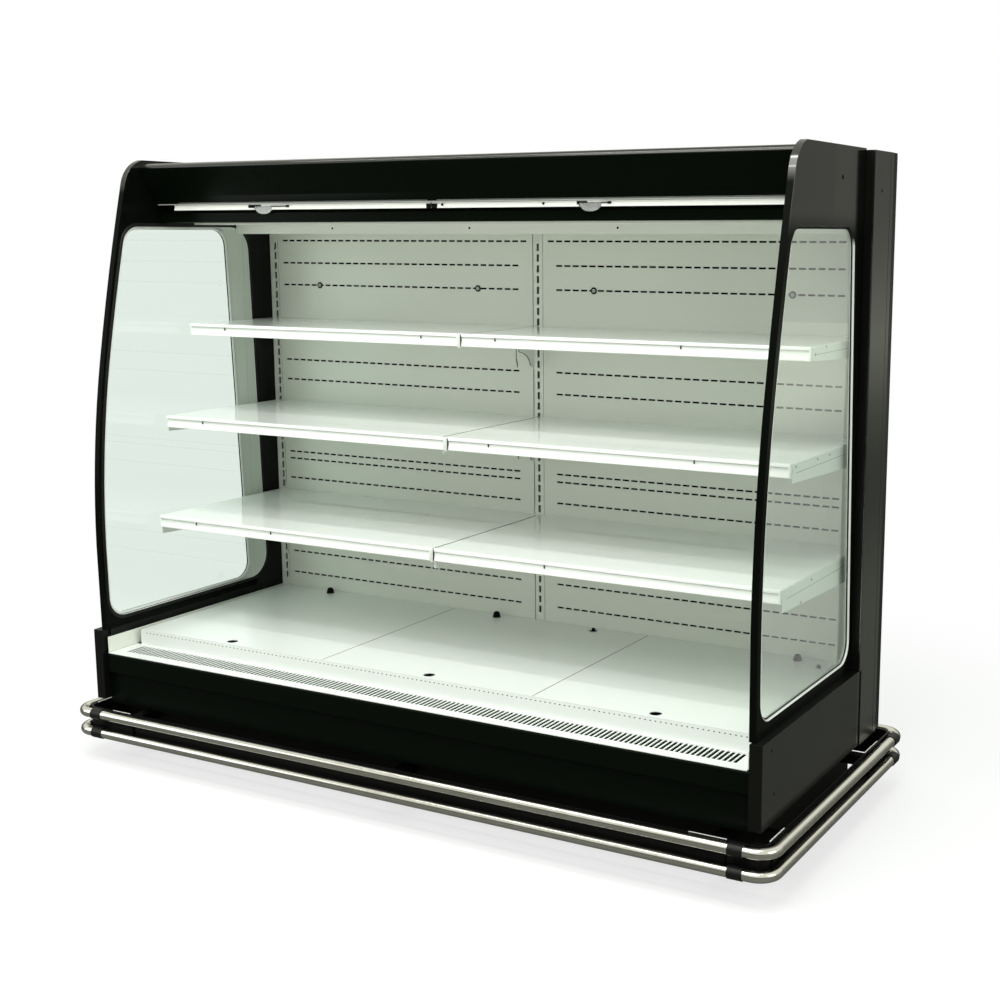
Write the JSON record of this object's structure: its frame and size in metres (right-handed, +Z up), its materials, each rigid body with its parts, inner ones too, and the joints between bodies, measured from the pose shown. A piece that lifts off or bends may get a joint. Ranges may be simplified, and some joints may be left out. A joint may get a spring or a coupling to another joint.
{
  "type": "open multideck display fridge",
  "caption": "Open-fronted refrigerated display case with glazed curved ends, hung shelves, lift-out deck, pull-down night blinds and a tubular bumper.",
  "frame": {"origin": "on the floor under the middle of the whole object", "axes": "+X to the right seen from the front, +Y to the rear wall, +Z up"},
  "size_m": [2.107, 0.9414, 1.644],
  "materials": {
    "black_steel": "satin black powder coat",
    "black_gloss": "glossy black paint",
    "black_panel": "black skinned foam panel",
    "white_steel": "white powder coat",
    "white_rail": "white extruded plastic",
    "clear_glass": "clear toughened glass",
    "black_rubber": "black rubber",
    "bright_tube": "polished steel",
    "zinc_steel": "zinc plated",
    "aluminium": "extruded aluminium",
    "clear_plastic": "clear moulded plastic",
    "black_plastic": "black moulded plastic",
    "blind_fabric": "white coated blind cloth",
    "coil_metal": "aluminium fins on tubes"
  },
  "bodies": {
    "cabinet": {"base_frame": "black_steel", "levelling_feet": "zinc_steel", "insulated_tub": "black_panel", "insulated_back": "black_panel", "canopy_top": "black_panel", "canopy_fascia": "black_steel", "air_duct_front": "black_steel", "rear_column_left": "black_steel", "rear_column_right": "black_steel", "side_base_left": "black_steel", "side_base_right": "black_steel", "end_frame_left": "black_gloss", "end_frame_right": "black_gloss", "end_glass_left": "clear_glass", "end_glass_right": "clear_glass", "glass_seals": "black_rubber", "front_nosing": "black_steel", "front_panel": "black_steel", "side_liners": "white_steel", "back_panel_left": "white_steel", "back_panel_right": "white_steel", "uprights": "white_steel", "shelf_top_left": "white_steel", "shelf_top_right": "white_steel", "shelf_middle_left": "white_steel", "shelf_middle_right": "white_steel", "shelf_bottom_left": "white_steel", "shelf_bottom_right": "white_steel", "shelf_brackets_top": "white_steel", "shelf_brackets_middle": "white_steel", "shelf_brackets_bottom": "white_steel", "ticket_rails": "white_rail", "deck_riser": "white_steel", "ceiling_panel": "white_steel", "honeycomb_outlet": "black_plastic", "blind_bearings": "zinc_steel", "evaporator_coil": "coil_metal", "fan_plate": "zinc_steel", "fan_motors": "black_plastic", "drain_outlet": "black_plastic", "terminal_box": "black_plastic", "bumper_tubes": "bright_tube", "bumper_sleeves": "black_rubber", "bumper_brackets": "black_steel", "bumper_backing": "black_plastic", "wall_plugs": "white_rail"},
    "deck_left": {"deck_pan_left": "white_steel"},
    "deck_centre": {"deck_pan_centre": "white_steel"},
    "deck_right": {"deck_pan_right": "white_steel"},
    "intake_grille": {"return_grille": "white_steel"},
    "left_blind": {"blind_bar_left": "aluminium", "blind_handle_left": "clear_plastic", "blind_cloth_left": "blind_fabric"},
    "right_blind": {"blind_bar_right": "aluminium", "blind_handle_right": "clear_plastic", "blind_cloth_right": "blind_fabric"},
    "left_roller": {"blind_roller_left": "blind_fabric"},
    "right_roller": {"blind_roller_right": "blind_fabric"},
    "left_fan": {"fan_impeller_left": "black_plastic"},
    "right_fan": {"fan_impeller_right": "black_plastic"}
  },
  "joints": [
    {"name": "left_blind_pull", "type": "slide", "parent": "cabinet", "child": "left_blind", "axis": [0, -0.2194, -0.9756], "range_m": [0, 1.2259], "stiffness_N_per_m": 3, "springref_m": -1.2, "deforming": ["blind_cloth_left"]},
    {"name": "left_roller_turn", "type": "hinge", "parent": "cabinet", "child": "left_roller", "pos_m": [-0.499, -0.10075, 1.566], "axis": [1, 0, 0], "range_deg": [0, 3903.2]},
    {"name": "right_blind_pull", "type": "slide", "parent": "cabinet", "child": "right_blind", "axis": [0, -0.2194, -0.9756], "range_m": [0, 1.2259], "stiffness_N_per_m": 3, "springref_m": -1.2, "deforming": ["blind_cloth_right"]},
    {"name": "right_roller_turn", "type": "hinge", "parent": "cabinet", "child": "right_roller", "pos_m": [0.466, -0.10075, 1.566], "axis": [1, 0, 0], "range_deg": [0, 3903.2]},
    {"name": "deck_left_lift", "type": "slide", "parent": "cabinet", "child": "deck_left", "axis": [0, 0, 1], "range_m": [0, 0.12]},
    {"name": "deck_centre_lift", "type": "slide", "parent": "cabinet", "child": "deck_centre", "axis": [0, 0, 1], "range_m": [0, 0.12]},
    {"name": "deck_right_lift", "type": "slide", "parent": "cabinet", "child": "deck_right", "axis": [0, 0, 1], "range_m": [0, 0.12]},
    {"name": "intake_grille_lift", "type": "slide", "parent": "cabinet", "child": "intake_grille", "axis": [0, 0, 1], "range_m": [0, 0.06]},
    {"name": "left_fan_spin", "type": "hinge", "parent": "cabinet", "child": "left_fan", "pos_m": [-0.47, -0.17725, 0.259], "axis": [0, 1, 0], "continuous": true},
    {"name": "right_fan_spin", "type": "hinge", "parent": "cabinet", "child": "right_fan", "pos_m": [0.47, -0.17725, 0.259], "axis": [0, 1, 0], "continuous": true}
  ],
  "couplings": [
    {"joint": "left_roller_turn", "follows": "left_blind_pull", "rad_per_m": 55.556},
    {"joint": "right_roller_turn", "follows": "right_blind_pull", "rad_per_m": 55.556}
  ]
}
